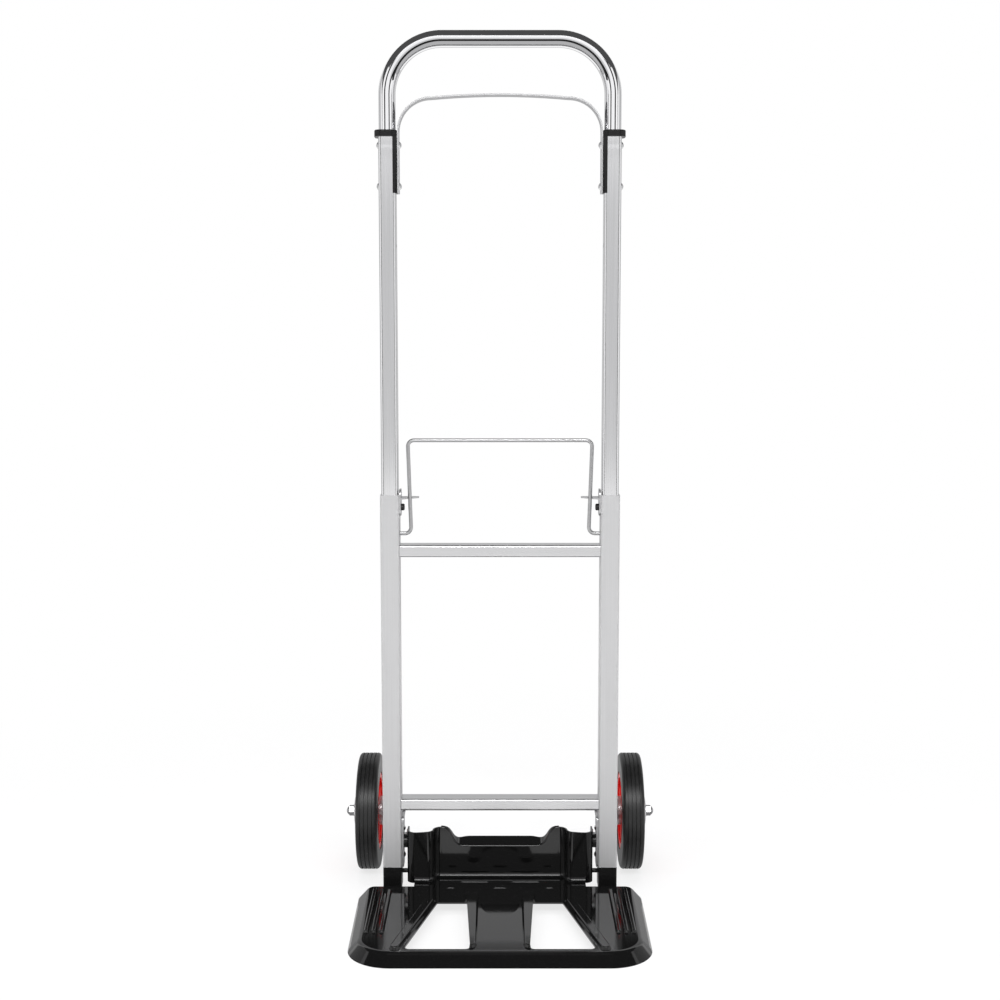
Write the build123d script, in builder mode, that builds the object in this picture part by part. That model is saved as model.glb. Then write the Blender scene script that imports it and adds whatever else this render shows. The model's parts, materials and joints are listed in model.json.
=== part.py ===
from build123d import *
from math import asin, atan2, cos, degrees, radians, sin, tan
import os

# Folding hand truck with a telescopic handle, in millimetres.
# Seen from the front, +X is to the right, +Y is to the back and +Z is up.
# The origin lies on the floor under the middle of the unfolded truck.
# Paired pieces are modelled on the right side and mirrored to the left.

# Lower side tubes
frame_w = 314.0
lower_tube_w = 25.0
lower_tube_d = 30.0
lower_tube_wall = 1.3
lower_tube_corner = 2.5
lower_tube_foot = 33.0
lower_tube_top = 536.0

# Upper side tubes that slide in the lower ones
slide_gap = 0.2
upper_tube_corner = 4.0
upper_tube_wall = 1.3
upper_tube_top = 996.0
tube_overlap = 70.0
handle_travel = 375.0
guide_flange = 3.0
guide_plug = 18.0
plug_gap = 0.1

# Chrome handle
handle_rise = 134.0
grip_d = 22.0
grip_wall = 1.5
grip_bend = 70.0
neck_gap = 0.1
neck_wall = 1.5
neck_depth = 73.0
neck_shoulder = 3.0

# Collars with a riveted tongue
collar_t = 8.5
collar_ledge = 2.5
collar_outer_lip = 5.1
collar_front_lip = 2.0
collar_corner = 9.0
collar_edge = 1.5
tongue_pad = 2.1
tongue_wrap = 3.6
tongue_lip = 1.0
tongue_taper = 2.5
tongue_len = 71.0
grip_fit = 0.05

# Brace strap
strap_t = 2.0
strap_w = 20.0
strap_bend = 43.0
strap_rise = 50.0
strap_crown = 4.0

# Handle rivets
rivet_d = 5.0
rivet_head_d = 10.0
rivet_head_h = 3.2
rivet_fit = 0.05
rivet_drop = 10.0
rivet_pitch = 52.0

# Crossbars
crossbar_h = 16.0
crossbar_d = 26.0
crossbar_corner = 3.0
crossbar_wall = 1.3
crossbar_inset = 1.0
upper_crossbar_drop = 74.0
lower_crossbar_z = 119.0

# Foot caps with a stop peg
foot_gap = 2.0
foot_edge = 2.0
foot_plug = 6.0
peg_d = 6.0
peg_setback = 20.0
peg_z = 22.0
peg_past_ear = 1.0
peg_gap = 0.4
peg_way = 13.0

# Wire bail and its brackets
bail_wire = 5.0
bail_drop = 52.0
bail_rise = 123.0
bail_side_gap = 15.0
bail_spread = 4.0
bail_bend = 8.0
bail_fit = 0.05
bail_end_gap = 0.1
bail_bracket_t = 2.0
bail_bracket_w = 26.0
bail_bracket_h = 35.0
bail_bracket_rise = 7.0
bail_bracket_corner = 8.0
bail_tab_up = 22.0
bail_tab_reach = 23.0
bail_tab_tip = 6.0
bail_tab_corner = 2.0
bail_notch_gap = 0.4
screw_up = 11.0
screw_d = 4.0
screw_head_d = 9.0
screw_head_h = 4.5
screw_edge = 1.6

# Toe plate pressing
sheet = 2.0
plate_reach = 250.0
plate_h = 15.0
plate_rear_half = 188.0
plate_front_half = 185.0
plate_rear_gap = 6.0
plate_front_corner = 55.0
plate_rear_corner = 22.0
skirt_slope = 42.0
skirt_bend = 8.0
panel_setback = 14.0
column_step = 9.0
column_flat = 17.0
ear_corner = 10.0
ear_end = 31.0
ear_top = 83.0
ear_round = 10.0
ear_shoulder = 8.5
panel_top = 59.0
saddle_run = 31.0
flange_rise = 7.0
flange_depth = 19.0
flange_bend = 2.5
flange_lead = 8.0
flange_tip = 3.0
hump_top = 84.5
column_top = 82.5
foot_bend = 6.0
window_rear = -79.0
window_front = -228.0
window_rear_inner = 43.0
window_rear_outer = 81.0
window_front_inner = 36.0
window_front_outer = 116.0
window_inner_corner = 8.0
window_outer_corner = 20.0
window_front_corner = 6.0
bead_slope = 25.0
side_bead_w = 7.0
side_bead_h = 3.0
side_bead_edge = 1.5
side_bead_rear = -36.0
side_bead_front = -176.0
side_bead_middle = 155.5
side_bead_pitch = 9.5
foot_bead_w = 5.0
foot_bead_h = 1.6
foot_bead_edge = 1.0
foot_bead_middle = 34.0
foot_bead_len = 38.0
foot_bead_setback = -6.0
outer_bead_middle = 65.5
outer_bead_len = 11.0
middle_bead_len = 18.0
front_bead_setback = -28.0
rib_h = 4.0
rib_edge = 2.0
slant_rib_w = 14.0
slant_rib_gap = 4.0
inner_rib_w = 18.0
inner_rib_half = 37.0
inner_rib_rear = -58.0
inner_rib_front = -216.0
recess_half = 25.0
recess_rear = -85.0
recess_reach = 38.0
recess_depth = 3.0
drain_d = 6.0
drain_half = 86.5
drain_setback = -74.0

# Toe plate pivot
pivot_setback = 13.0
pivot_z = 66.0
pivot_d = 8.0
pivot_fit = 0.05
pivot_head_d = 15.0
pivot_head_h = 4.5
pivot_side_gap = 0.2
spacer_d = 18.0
spacer_len = 4.8
nut_af = 13.0
nut_h = 6.5
hex_head_h = 5.5

# Wheel hinge bracket and its pin
bracket_t = 2.5
cheek_front = 4.0
cheek_drop = 2.0
cheek_corner = 5.0
cheek_rivet_setback = 22.0
cheek_rivet_z = (44.0, 81.0)
cheek_rivet_d = 4.8
cheek_rivet_head_d = 8.0
cheek_rivet_head_h = 2.0
cheek_rivet_tail_d = 6.5
cheek_rivet_tail_h = 3.0
hinge_inset = 5.8
hinge_setback = 47.0
hinge_pin_d = 8.0
hinge_fit = 0.05
hinge_lug_r = 8.5
hinge_gap = 0.4
pin_head_d = 13.0
pin_head_h = 2.2
pin_head_gap = 0.2

# Folding wheel arms
arm_t = 2.5
arm_h = 42.0
arm_offset = 12.2
lever_rim = 2.0

# Link rods between the toe plate and the wheel arms
link_wire = 3.0
link_crank = 15.6
link_bend = 2.0
link_fit = 0.1
link_end_past = 1.0
link_hook_past = 5.5
link_slot_gap = 1.7

# Wheels and axles
tyre_d = 160.0
tyre_w = 29.5
tyre_shoulder = 5.0
tyre_fit = 0.1
tread_grooves = 4
tread_pitch = 5.5
tread_groove_w = 1.6
tread_groove_depth = 2.2
wheel_offset = 12.25
axle_setback = 100.0
axle_d = 8.0
axle_fit = 0.05
axle_thread_past = 1.0
axle_play = 0.3
axle_spacer_d = 16.0
axle_spacer_len = 10.2
washer_d = 17.0
washer_t = 1.6
cap_nut_hex = 6.0
cap_nut_dome = 4.1
rim_flange_h = 3.5
rim_flange_w = 2.5
rim_half = 13.5
rim_seat_r = 50.0
rim_barrel_t = 4.0
rim_hub_r = 18.0
rim_web_t = 6.0
rim_web_offset = 2.0
rim_ribs = 6
rim_rib_t = 4.0
rim_rib_inset = 1.5
bush_r = 11.0
bush_fit = 0.05
bush_flange_d = 40.0
bush_flange_t = 6.5
bush_edge = 1.5
bush_gap = 1.5
hub_len = 27.0

# Places worked out from the sizes above
tyre_r = tyre_d / 2
tube_front_y = (plate_reach - axle_setback - tyre_r) / 2
tube_y = tube_front_y + lower_tube_d / 2
tube_back_y = tube_front_y + lower_tube_d
tube_x = (frame_w - lower_tube_w) / 2
inner_x = tube_x - lower_tube_w / 2
upper_tube_w = lower_tube_w - 2 * (lower_tube_wall + slide_gap)
upper_tube_d = lower_tube_d - 2 * (lower_tube_wall + slide_gap)
upper_inner_x = tube_x - upper_tube_w / 2
upper_outer_x = tube_x + upper_tube_w / 2
upper_tube_foot = lower_tube_top - tube_overlap
handle_top = upper_tube_top + handle_rise
strap_shoulder = upper_tube_top + strap_rise
neck_z = upper_tube_top + collar_ledge
neck_r = upper_tube_w / 2 - upper_tube_wall - neck_gap
tongue_x = upper_inner_x - tongue_pad
strap_foot = upper_tube_top - tongue_len
rivet_heights = [upper_tube_top - rivet_drop - step * rivet_pitch for step in range(2)]
crossbar_y = tube_front_y + crossbar_inset + crossbar_d / 2
upper_crossbar_z = lower_tube_top - upper_crossbar_drop
bail_z = lower_tube_top - bail_drop
bail_top = bail_z + bail_rise
bail_foot_half = inner_x - bail_side_gap
bail_top_half = bail_foot_half + bail_spread
bail_bracket_z = lower_tube_top + bail_bracket_rise - bail_bracket_h
bail_tab_z = bail_bracket_z + bail_tab_up
screw_z = bail_bracket_z + screw_up
bail_end_x = inner_x + lower_tube_wall - bail_end_gap
bail_tab_x = inner_x - bail_bracket_t - bail_tab_reach
bail_lean = (bail_top_half - bail_foot_half) / (bail_top - bail_z)
bail_notch_x = bail_foot_half + bail_lean * (bail_tab_z + bail_bracket_t / 2 - bail_z)
bail_notch_r = bail_wire / 2 + bail_notch_gap
pivot_y = tube_front_y + pivot_setback
spacer_x = inner_x - bracket_t - spacer_len
ear_half = spacer_x - pivot_side_gap
ear_x = ear_half - sheet
peg_y = tube_front_y + peg_setback
plate_front_y = tube_front_y - plate_reach
plate_rear_y = tube_front_y - plate_rear_gap
panel_y = tube_front_y + panel_setback
column_y = panel_y - 2 * column_step
panel_half = ear_half - ear_corner - column_flat - 2 * column_step
column_edge = ear_x - ear_shoulder
flange_half = panel_half - saddle_run
flange_taper = flange_half - flange_lead
flange_y = panel_y + flange_depth
flange_tip_y = panel_y + flange_tip
flange_run = Vector(0, flange_depth, flange_rise)
hinge_x = inner_x + hinge_inset
hinge_y = tube_front_y + hinge_setback
arm_plate_x = hinge_x + arm_offset
axle_y = tube_front_y + axle_setback
axle_z = tyre_r
arm_low = axle_z - arm_h / 2
arm_high = axle_z + arm_h / 2
lug_low = arm_low + arm_t + hinge_gap
lug_high = arm_high - arm_t - hinge_gap - bracket_t
lug_span = lug_high + bracket_t - lug_low
cheek_foot = lower_tube_foot - cheek_drop
cheek_rivet_y = tube_front_y + cheek_rivet_setback
crank = link_crank * sin(radians(45))
link_x = hinge_x - crank
link_pin_y = pivot_y + crank
link_pin_z = pivot_z - crank
link_hook_y = hinge_y + crank
lever_r = link_wire / 2 + link_slot_gap + lever_rim
axle_spacer_x = arm_plate_x + arm_t
hub_inner = axle_spacer_x + axle_spacer_len + axle_play + bush_flange_t
hub_outer = hub_inner + hub_len
wheel_x = hub_inner + wheel_offset
rim_flange_r = rim_seat_r + rim_flange_h
washer_x = hub_outer + bush_flange_t + axle_play
cap_nut_x = washer_x + washer_t
axle_line = Axis((0, axle_y, axle_z), (1, 0, 0))
wheel_plane = Plane(origin=(wheel_x, axle_y, axle_z), x_dir=(1, 0, 0), z_dir=(0, -1, 0))
os.makedirs("parts", exist_ok=True)


def write(piece, name):
    piece.part.label = name
    export_step(piece.part, f"parts/{name}.step")


def write_pair(piece, name):
    write(piece, f"right_{name}")
    with BuildPart() as other_side:
        mirror(piece.part, about=Plane.YZ)
    write(other_side, f"left_{name}")


def dome(base_x, base_r, height, way):
    """Half outline of a dome on an X axis, standing on base_x, for a revolve."""
    ball_r = (base_r**2 + height**2) / (2 * height)
    turn = asin(base_r / ball_r) / 2
    middle = (base_x + way * (height - ball_r + ball_r * cos(turn)), ball_r * sin(turn))
    with BuildLine() as half:
        ThreePointArc((base_x, base_r), middle, (base_x + way * height, 0))
        Polyline((base_x + way * height, 0), (base_x, 0), (base_x, base_r))
    make_face(half.edges())


def ring(outer_r, inner_r):
    Circle(outer_r)
    Circle(inner_r, mode=Mode.SUBTRACT)


# Lower side tube with the holes in its inner wall
with BuildPart() as lower_tube:
    with BuildSketch(Plane.XY.offset(lower_tube_foot)):
        with Locations((tube_x, tube_y)):
            RectangleRounded(lower_tube_w, lower_tube_d, lower_tube_corner)
            RectangleRounded(
                lower_tube_w - 2 * lower_tube_wall,
                lower_tube_d - 2 * lower_tube_wall,
                lower_tube_corner - lower_tube_wall,
                mode=Mode.SUBTRACT,
            )
    extrude(amount=lower_tube_top - lower_tube_foot)
    with BuildSketch(Plane.YZ.offset(inner_x)):
        with Locations((pivot_y, pivot_z)):
            Circle(pivot_d / 2 + pivot_fit)
        with Locations((tube_y, bail_z)):
            Circle(bail_wire / 2 + bail_fit)
        with Locations((tube_y, screw_z)):
            Circle(screw_d / 2 + rivet_fit)
        with Locations(*[(cheek_rivet_y, z) for z in cheek_rivet_z]):
            Circle(cheek_rivet_d / 2 + rivet_fit)
    extrude(amount=2 * lower_tube_wall, mode=Mode.SUBTRACT)
write_pair(lower_tube, "lower_tube")


def crossbar(height):
    """Rectangular tube between the inner faces of the lower tubes."""
    with BuildPart() as bar:
        with BuildSketch(Plane.YZ.offset(-inner_x)):
            with Locations((crossbar_y, height)):
                RectangleRounded(crossbar_d, crossbar_h, crossbar_corner)
                RectangleRounded(
                    crossbar_d - 2 * crossbar_wall,
                    crossbar_h - 2 * crossbar_wall,
                    crossbar_corner - crossbar_wall,
                    mode=Mode.SUBTRACT,
                )
        extrude(amount=2 * inner_x)
    return bar


write(crossbar(upper_crossbar_z), "upper_crossbar")
write(crossbar(lower_crossbar_z), "lower_crossbar")

# Plastic foot cap plugged into the lower tube, with the peg that stops the toe plate
with BuildPart() as foot_cap:
    with BuildSketch(Plane.XY.offset(foot_gap)):
        with Locations((tube_x, tube_y)):
            RectangleRounded(lower_tube_w, lower_tube_d, lower_tube_corner)
    extrude(amount=lower_tube_foot - foot_gap)
    fillet(foot_cap.faces().sort_by(Axis.Z)[0].edges(), foot_edge)
    with BuildSketch(Plane.XY.offset(lower_tube_foot)):
        with Locations((tube_x, tube_y)):
            RectangleRounded(
                lower_tube_w - 2 * (lower_tube_wall + plug_gap),
                lower_tube_d - 2 * (lower_tube_wall + plug_gap),
                lower_tube_corner - lower_tube_wall,
            )
    extrude(amount=foot_plug)
    with BuildSketch(Plane.YZ.offset(ear_x - peg_past_ear)):
        with Locations((peg_y, peg_z)):
            Circle(peg_d / 2)
    extrude(amount=inner_x - ear_x + peg_past_ear + lower_tube_wall)
write_pair(foot_cap, "foot_cap")

# Zinc plated hinge bracket: a cheek on the inner face of the tube, and two lugs behind it
with BuildPart() as hinge_bracket:
    with BuildSketch(Plane.YZ.offset(inner_x - bracket_t)):
        with Locations((tube_front_y + (cheek_front + lower_tube_d) / 2, (cheek_foot + arm_high) / 2)):
            RectangleRounded(lower_tube_d - cheek_front, arm_high - cheek_foot, cheek_corner)
        with Locations((tube_back_y - cheek_corner, lug_low + lug_span / 2)):
            Rectangle(2 * cheek_corner, lug_span)
        with Locations((pivot_y, pivot_z)):
            Circle(pivot_d / 2 + pivot_fit, mode=Mode.SUBTRACT)
        with Locations(*[(cheek_rivet_y, z) for z in cheek_rivet_z]):
            Circle(cheek_rivet_d / 2 + rivet_fit, mode=Mode.SUBTRACT)
    extrude(amount=bracket_t)
    with BuildSketch(Plane.XY.offset(lug_low)):
        with Locations(((inner_x - bracket_t + arm_plate_x) / 2, tube_back_y + bracket_t / 2)):
            Rectangle(arm_plate_x - inner_x + bracket_t, bracket_t)
    extrude(amount=lug_span)
    for height in (lug_low, lug_high):
        with BuildSketch(Plane.XY.offset(height)):
            with Locations((hinge_x, hinge_y)):
                Circle(hinge_lug_r)
            with Locations((hinge_x, (tube_back_y + hinge_y) / 2)):
                Rectangle(2 * hinge_lug_r, hinge_y - tube_back_y)
            with Locations((hinge_x, hinge_y)):
                Circle(hinge_pin_d / 2 + hinge_fit, mode=Mode.SUBTRACT)
        extrude(amount=bracket_t)
write_pair(hinge_bracket, "hinge_bracket")

# Blind rivets that hold the bracket cheeks to the tubes
with BuildPart() as bracket_rivets:
    for height in cheek_rivet_z:
        rivet_line = Axis((0, cheek_rivet_y, height), (1, 0, 0))
        rivet_plane = Plane(origin=rivet_line.position, x_dir=(1, 0, 0), z_dir=(0, -1, 0))
        with BuildSketch(Plane.YZ.offset(inner_x - bracket_t)):
            with Locations((cheek_rivet_y, height)):
                Circle(cheek_rivet_d / 2)
        extrude(amount=bracket_t + lower_tube_wall)
        with BuildSketch(rivet_plane):
            dome(inner_x - bracket_t, cheek_rivet_head_d / 2, cheek_rivet_head_h, -1)
            dome(inner_x + lower_tube_wall, cheek_rivet_tail_d / 2, cheek_rivet_tail_h, 1)
        revolve(axis=rivet_line)
    mirror(about=Plane.YZ)
write(bracket_rivets, "bracket_rivets")

# Upright pin that the wheel arm turns on
with BuildPart() as hinge_pin:
    with BuildSketch(Plane.XY.offset(arm_low - pin_head_gap)):
        with Locations((hinge_x, hinge_y)):
            Circle(hinge_pin_d / 2)
    extrude(amount=arm_h + 2 * pin_head_gap)
    for height in (arm_low - pin_head_gap - pin_head_h, arm_high + pin_head_gap):
        with BuildSketch(Plane.XY.offset(height)):
            with Locations((hinge_x, hinge_y)):
                Circle(pin_head_d / 2)
        extrude(amount=pin_head_h)
    fillet(hinge_pin.edges().group_by(Axis.Z)[0] + hinge_pin.edges().group_by(Axis.Z)[-1], pin_head_h / 2)
write_pair(hinge_pin, "hinge_pin")

# Pivot of the toe plate: a bolt through the ear, a spacer and a nut inside the tube
with BuildPart() as pivot_bolt:
    with BuildSketch(Plane.YZ.offset(ear_x - pivot_side_gap - pivot_head_h)):
        with Locations((pivot_y, pivot_z)):
            Circle(pivot_head_d / 2)
    extrude(amount=pivot_head_h)
    fillet(pivot_bolt.edges().group_by(Axis.X)[0], pivot_head_h / 2)
    with BuildSketch(Plane.YZ.offset(ear_x - pivot_side_gap)):
        with Locations((pivot_y, pivot_z)):
            Circle(pivot_d / 2)
    extrude(amount=inner_x + lower_tube_wall + nut_h - ear_x + pivot_side_gap)
write_pair(pivot_bolt, "pivot_bolt")

with BuildPart() as pivot_spacer:
    with BuildSketch(Plane.YZ.offset(spacer_x)):
        with Locations((pivot_y, pivot_z)):
            ring(spacer_d / 2, pivot_d / 2 + pivot_fit)
    extrude(amount=spacer_len)
write_pair(pivot_spacer, "pivot_spacer")

with BuildPart() as pivot_nuts:
    with BuildSketch(Plane.YZ.offset(inner_x + lower_tube_wall)):
        with Locations((pivot_y, pivot_z)):
            RegularPolygon(nut_af / 2, 6, major_radius=False)
            Circle(pivot_d / 2 + pivot_fit, mode=Mode.SUBTRACT)
    extrude(amount=nut_h)
    mirror(about=Plane.YZ)
write(pivot_nuts, "pivot_nuts")

# Bail bracket: an upright plate on the tube and a notched tab that steadies the wire
with BuildPart() as bail_bracket:
    with BuildSketch(Plane.YZ.offset(inner_x - bail_bracket_t)):
        with Locations((tube_y, bail_bracket_z + bail_bracket_h / 2)):
            RectangleRounded(bail_bracket_w, bail_bracket_h, bail_bracket_corner)
        with Locations((tube_y, screw_z)):
            Circle(screw_d / 2 + rivet_fit, mode=Mode.SUBTRACT)
    extrude(amount=bail_bracket_t)
    with BuildSketch(Plane.XY.offset(bail_tab_z)) as tab:
        with BuildLine():
            Polyline(
                (inner_x, tube_y - bail_bracket_w / 2),
                (inner_x, tube_y + bail_bracket_w / 2),
                (bail_tab_x, tube_y + bail_bracket_w / 2),
                (bail_tab_x, tube_y + bail_bracket_w / 2 - bail_tab_tip),
                close=True,
            )
        make_face()
        fillet(tab.vertices().group_by(Axis.X)[0], bail_tab_corner)
        with Locations((bail_notch_x, tube_y)):
            Circle(bail_notch_r, mode=Mode.SUBTRACT)
        with Locations((bail_notch_x, tube_y - bail_bracket_w / 4)):
            Rectangle(2 * bail_notch_r, bail_bracket_w / 2, mode=Mode.SUBTRACT)
    extrude(amount=bail_bracket_t)
write_pair(bail_bracket, "bail_bracket")

with BuildPart() as bracket_screws:
    with BuildSketch(Plane.YZ.offset(inner_x - bail_bracket_t - screw_head_h)):
        with Locations((tube_y, screw_z)):
            Circle(screw_head_d / 2)
    extrude(amount=screw_head_h)
    fillet(bracket_screws.edges().group_by(Axis.X)[0], screw_edge)
    with BuildSketch(Plane.YZ.offset(inner_x - bail_bracket_t)):
        with Locations((tube_y, screw_z)):
            Circle(screw_d / 2)
    extrude(amount=bail_bracket_t + lower_tube_wall - bail_end_gap)
    mirror(about=Plane.YZ)
write(bracket_screws, "bail_bracket_screws")

# Spring wire bail whose ends turn in the inner walls of the lower tubes
with BuildPart() as bail:
    with BuildLine(Plane.XZ.offset(-tube_y)) as bail_path:
        FilletPolyline(
            (bail_end_x, bail_z),
            (bail_foot_half, bail_z),
            (bail_top_half, bail_top),
            (-bail_top_half, bail_top),
            (-bail_foot_half, bail_z),
            (-bail_end_x, bail_z),
            radius=bail_bend,
        )
    with BuildSketch(Plane(origin=(bail_end_x, tube_y, bail_z), z_dir=(-1, 0, 0))):
        Circle(bail_wire / 2)
    sweep(path=bail_path.wires()[0])
write(bail, "wire_bail")

# Upper side tube with the rivet holes and the two lock holes for the bail ends
with BuildPart() as upper_tube:
    with BuildSketch(Plane.XY.offset(upper_tube_foot)):
        with Locations((tube_x, tube_y)):
            RectangleRounded(upper_tube_w, upper_tube_d, upper_tube_corner)
            RectangleRounded(
                upper_tube_w - 2 * upper_tube_wall,
                upper_tube_d - 2 * upper_tube_wall,
                upper_tube_corner - upper_tube_wall,
                mode=Mode.SUBTRACT,
            )
    extrude(amount=upper_tube_top - upper_tube_foot)
    with BuildSketch(Plane.YZ.offset(upper_inner_x)):
        with Locations(*[(tube_y, z) for z in rivet_heights]):
            Circle(rivet_d / 2 + rivet_fit)
    extrude(amount=upper_tube_w, mode=Mode.SUBTRACT)
    with BuildSketch(Plane.YZ.offset(upper_inner_x)):
        with Locations((tube_y, bail_z), (tube_y, bail_z + handle_travel)):
            Circle(bail_wire / 2 + slide_gap)
    extrude(amount=2 * upper_tube_wall, mode=Mode.SUBTRACT)
write_pair(upper_tube, "upper_tube")

# Plastic guide plugged into the lower end of the upper tube
with BuildPart() as tube_guide:
    with BuildSketch(Plane.XY.offset(upper_tube_foot - guide_flange)):
        with Locations((tube_x, tube_y)):
            RectangleRounded(upper_tube_w, upper_tube_d, upper_tube_corner)
    extrude(amount=guide_flange)
    with BuildSketch(Plane.XY.offset(upper_tube_foot)):
        with Locations((tube_x, tube_y)):
            RectangleRounded(
                upper_tube_w - 2 * (upper_tube_wall + plug_gap),
                upper_tube_d - 2 * (upper_tube_wall + plug_gap),
                upper_tube_corner - upper_tube_wall,
            )
    extrude(amount=guide_plug)
write_pair(tube_guide, "tube_guide")

# Chrome handle: one bent tube whose ends are necked down to fit the upper tubes
with BuildPart() as chrome_handle:
    with BuildLine(Plane.XZ.offset(-tube_y)) as grip_path:
        FilletPolyline(
            (tube_x, neck_z),
            (tube_x, handle_top - grip_d / 2),
            (-tube_x, handle_top - grip_d / 2),
            (-tube_x, neck_z),
            radius=grip_bend,
        )
    with BuildSketch(Plane.XY.offset(neck_z)):
        with Locations((tube_x, tube_y)):
            ring(grip_d / 2, grip_d / 2 - grip_wall)
    sweep(path=grip_path.wires()[0])
    with BuildSketch(Plane.XY.offset(neck_z)):
        with Locations((tube_x, tube_y), (-tube_x, tube_y)):
            ring(grip_d / 2, neck_r - neck_wall)
    extrude(amount=neck_shoulder)
    with BuildSketch(Plane.XY.offset(neck_z)):
        with Locations((tube_x, tube_y), (-tube_x, tube_y)):
            ring(neck_r, neck_r - neck_wall)
    extrude(amount=-neck_depth)
    with BuildSketch(Plane.YZ.offset(-upper_outer_x)):
        with Locations(*[(tube_y, z) for z in rivet_heights]):
            Circle(rivet_d / 2 + rivet_fit)
    extrude(amount=2 * upper_outer_x, mode=Mode.SUBTRACT)
write(chrome_handle, "chrome_handle")

# Black collar on the top of the upper tube, with a tapered tongue under the strap
with BuildPart() as collar:
    with BuildSketch(Plane.XY.offset(upper_tube_top)):
        with Locations(((tongue_x + upper_outer_x + collar_outer_lip) / 2, tube_y)):
            RectangleRounded(
                upper_outer_x + collar_outer_lip - tongue_x,
                upper_tube_d + 2 * collar_front_lip,
                collar_corner,
            )
    extrude(amount=collar_t)
    fillet(collar.faces().sort_by(Axis.Z)[-1].edges(), collar_edge)
    with BuildSketch(Plane.XY.offset(upper_tube_top)):
        with Locations((tube_x, tube_y)):
            Circle(neck_r + neck_gap)
    extrude(amount=collar_ledge, mode=Mode.SUBTRACT)
    with BuildSketch(Plane.XY.offset(neck_z)):
        with Locations((tube_x, tube_y)):
            Circle(grip_d / 2 + grip_fit)
    extrude(amount=collar_t, mode=Mode.SUBTRACT)
    with BuildSketch(Plane.XY.offset(strap_foot)):
        with Locations(((tongue_x + upper_inner_x + tongue_wrap) / 2, tube_y)):
            Rectangle(tongue_pad + tongue_wrap, upper_tube_d + 2 * tongue_lip)
        with Locations((tube_x, tube_y)):
            RectangleRounded(upper_tube_w, upper_tube_d, upper_tube_corner, mode=Mode.SUBTRACT)
    extrude(amount=tongue_len)
    for side in (-1, 1):
        with BuildSketch(Plane.XZ.offset(-tube_y - side * strap_w / 2)):
            with BuildLine():
                Polyline(
                    (tongue_x, upper_tube_top),
                    (tongue_x, strap_foot),
                    (tongue_x + tongue_taper, strap_foot),
                    close=True,
                )
            make_face()
        extrude(amount=-side * lower_tube_d / 2, mode=Mode.SUBTRACT)
    with BuildSketch(Plane.YZ.offset(tongue_x)):
        with Locations(*[(tube_y, z) for z in rivet_heights]):
            Circle(rivet_d / 2 + rivet_fit)
    extrude(amount=tongue_pad, mode=Mode.SUBTRACT)
write_pair(collar, "collar")


def strap_arch(inset, mode):
    """Filled arch under the strap's outer face, or under its inner face with an inset."""
    side = tongue_x - inset
    shoulder = strap_shoulder - inset
    bend = strap_bend - inset
    foot = strap_foot - inset
    with BuildLine() as arch:
        Polyline((-side, shoulder - bend), (-side, foot), (side, foot), (side, shoulder - bend))
        JernArc((side, shoulder - bend), (0, 1), bend, 90)
        ThreePointArc((side - bend, shoulder), (0, shoulder + strap_crown), (bend - side, shoulder))
        JernArc((bend - side, shoulder), (-1, 0), bend, 90)
    make_face(arch.edges(), mode=mode)


# Flat brace strap bent to an arch between the tongues
with BuildPart() as brace_strap:
    with BuildSketch(Plane.XZ.offset(-tube_y)):
        strap_arch(0, Mode.ADD)
        strap_arch(strap_t, Mode.SUBTRACT)
    extrude(amount=strap_w / 2, both=True)
    with BuildSketch(Plane.YZ.offset(-tongue_x)):
        with Locations(*[(tube_y, z) for z in rivet_heights]):
            Circle(rivet_d / 2 + rivet_fit)
    extrude(amount=2 * tongue_x, mode=Mode.SUBTRACT)
write(brace_strap, "brace_strap")

# Dome rivets through strap, tongue, tube and handle neck
with BuildPart() as handle_rivets:
    for height in rivet_heights:
        rivet_line = Axis((0, tube_y, height), (1, 0, 0))
        with BuildSketch(Plane.YZ.offset(tongue_x - strap_t)):
            with Locations((tube_y, height)):
                Circle(rivet_d / 2)
        extrude(amount=upper_outer_x - tongue_x + strap_t)
        with BuildSketch(Plane(origin=rivet_line.position, x_dir=(1, 0, 0), z_dir=(0, -1, 0))):
            dome(tongue_x - strap_t, rivet_head_d / 2, rivet_head_h, -1)
            dome(upper_outer_x, rivet_head_d / 2, rivet_head_h, 1)
        revolve(axis=rivet_line)
    mirror(about=Plane.YZ)
write(handle_rivets, "handle_rivets")


def pan_form(inset):
    """Solid pan with sloping sides, or the room under its sheet with the sheet as inset."""
    edge = inset / cos(radians(skirt_slope))
    front_half = plate_front_half - edge
    rear_half = plate_rear_half - edge
    with BuildPart() as form:
        with BuildSketch() as outline:
            with BuildLine():
                Polyline(
                    (-front_half, plate_front_y + edge),
                    (front_half, plate_front_y + edge),
                    (rear_half, plate_rear_y - edge),
                    (-rear_half, plate_rear_y - edge),
                    close=True,
                )
            make_face()
            fillet(outline.vertices().group_by(Axis.Y)[0], plate_front_corner - edge)
            fillet(outline.vertices().group_by(Axis.Y)[-1], plate_rear_corner - edge)
        extrude(amount=plate_h - inset, taper=skirt_slope)
        fillet(form.faces().sort_by(Axis.Z)[-1].edges(), skirt_bend - inset)
    return form.part


def wall_front():
    """Front face of the wall in plan, from the middle to the front of the right ear."""
    Line((0, panel_y), (panel_half, panel_y))
    JernArc((panel_half, panel_y), (1, 0), column_step, -90)
    JernArc((panel_half + column_step, panel_y - column_step), (0, -1), column_step, 90)
    Line((panel_half + 2 * column_step, column_y), (ear_half - ear_corner, column_y))


def saddle(across, down):
    """Top edge of the wall from the middle to the right hump, seen from the front, or that edge moved."""
    start = (flange_half + across, panel_top - down)
    Line((0, panel_top - down), start)
    Spline(start, (panel_half + across, hump_top - down), tangents=[(1, 0), (1, 0)])


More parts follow.
